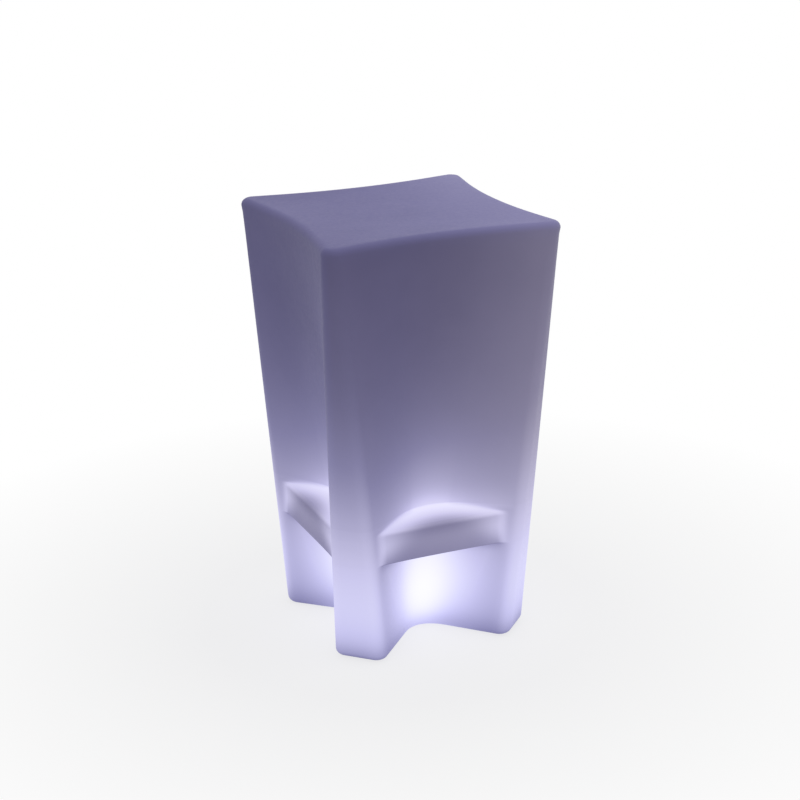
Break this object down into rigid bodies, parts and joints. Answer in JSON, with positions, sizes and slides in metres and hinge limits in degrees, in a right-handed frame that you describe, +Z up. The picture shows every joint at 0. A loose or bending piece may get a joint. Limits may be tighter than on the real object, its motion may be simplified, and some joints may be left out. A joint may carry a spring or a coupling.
{
  "type": "led light-up stool",
  "caption": "Tall light-up stool: square dished seat, X-plan hollow body with foot ledges, and a rechargeable lamp module in a recess underneath.",
  "frame": {"origin": "centre of the square footprint, on the floor under the pads", "axes": "+Z up along the stool's height, -Y out of the side that the picture shows in front, +X to its right"},
  "size_m": [0.4166, 0.4166, 0.74],
  "materials": {
    "frosted_polyethylene": "frosted translucent polyethylene, lit from inside",
    "black_rubber": "matt rubber",
    "zinc_plated_steel": "zinc plated",
    "brass": "turned brass",
    "white_moulded_housing": "fine moulded grain",
    "opal_lens": "opal, satin",
    "grey_silicone": "satin silicone",
    "white_led_board": "white solder mask",
    "green_control_board": "green solder mask",
    "blue_cell_sleeve": "shrink sleeve",
    "black_plastic": "moulded black plastic",
    "grey_foam": "closed cell foam",
    "nickel_strip": "plain nickel strip",
    "red_lead_sleeve": "lead sleeve"
  },
  "bodies": {
    "stool": {"body_shell": "frosted_polyethylene", "foot_pad_back_right": "black_rubber", "foot_screw_back_right": "zinc_plated_steel", "foot_insert_back_right": "brass", "foot_pad_back_left": "black_rubber", "foot_screw_back_left": "zinc_plated_steel", "foot_insert_back_left": "brass", "foot_pad_front_left": "black_rubber", "foot_screw_front_left": "zinc_plated_steel", "foot_insert_front_left": "brass", "foot_pad_front_right": "black_rubber", "foot_screw_front_right": "zinc_plated_steel", "foot_insert_front_right": "brass", "module_housing": "white_moulded_housing", "module_gasket": "black_rubber", "module_screw_1": "zinc_plated_steel", "module_insert_1": "brass", "dome_screw_1": "zinc_plated_steel", "module_screw_2": "zinc_plated_steel", "module_insert_2": "brass", "dome_screw_2": "zinc_plated_steel", "module_screw_3": "zinc_plated_steel", "module_insert_3": "brass", "dome_screw_3": "zinc_plated_steel", "module_screw_4": "zinc_plated_steel", "module_insert_4": "brass", "dome_screw_4": "zinc_plated_steel", "diffuser_dome": "opal_lens", "dome_seal": "grey_silicone", "led_board": "white_led_board", "control_board": "green_control_board", "control_screw_1": "zinc_plated_steel", "battery_cell_1": "blue_cell_sleeve", "control_screw_2": "zinc_plated_steel", "battery_cell_2": "blue_cell_sleeve", "push_switch": "black_plastic", "charge_socket": "black_plastic", "socket_nut": "zinc_plated_steel", "cover_anchor": "grey_silicone", "battery_tray": "black_plastic", "battery_foam": "grey_foam", "cell_link": "nickel_strip", "battery_lead": "red_lead_sleeve", "led_lead": "red_lead_sleeve", "charge_lead": "red_lead_sleeve"},
    "power_button": {"button_cap": "grey_silicone", "switch_plunger": "white_moulded_housing"},
    "socket_cover": {"charge_cover": "grey_silicone"}
  },
  "joints": [
    {"name": "power_button_press", "type": "slide", "parent": "stool", "child": "power_button", "axis": [0, 0, 1], "range_m": [0, 0.0015], "stiffness_N_per_m": 1000, "springref_m": -0.0005},
    {"name": "socket_cover_hinge", "type": "hinge", "parent": "stool", "child": "socket_cover", "pos_m": [0, 0.036, 0.0189], "axis": [1, 0, 0], "range_deg": [0, 92], "stiffness_Nm_per_rad": 0.0012, "springref_deg": -2.86}
  ]
}
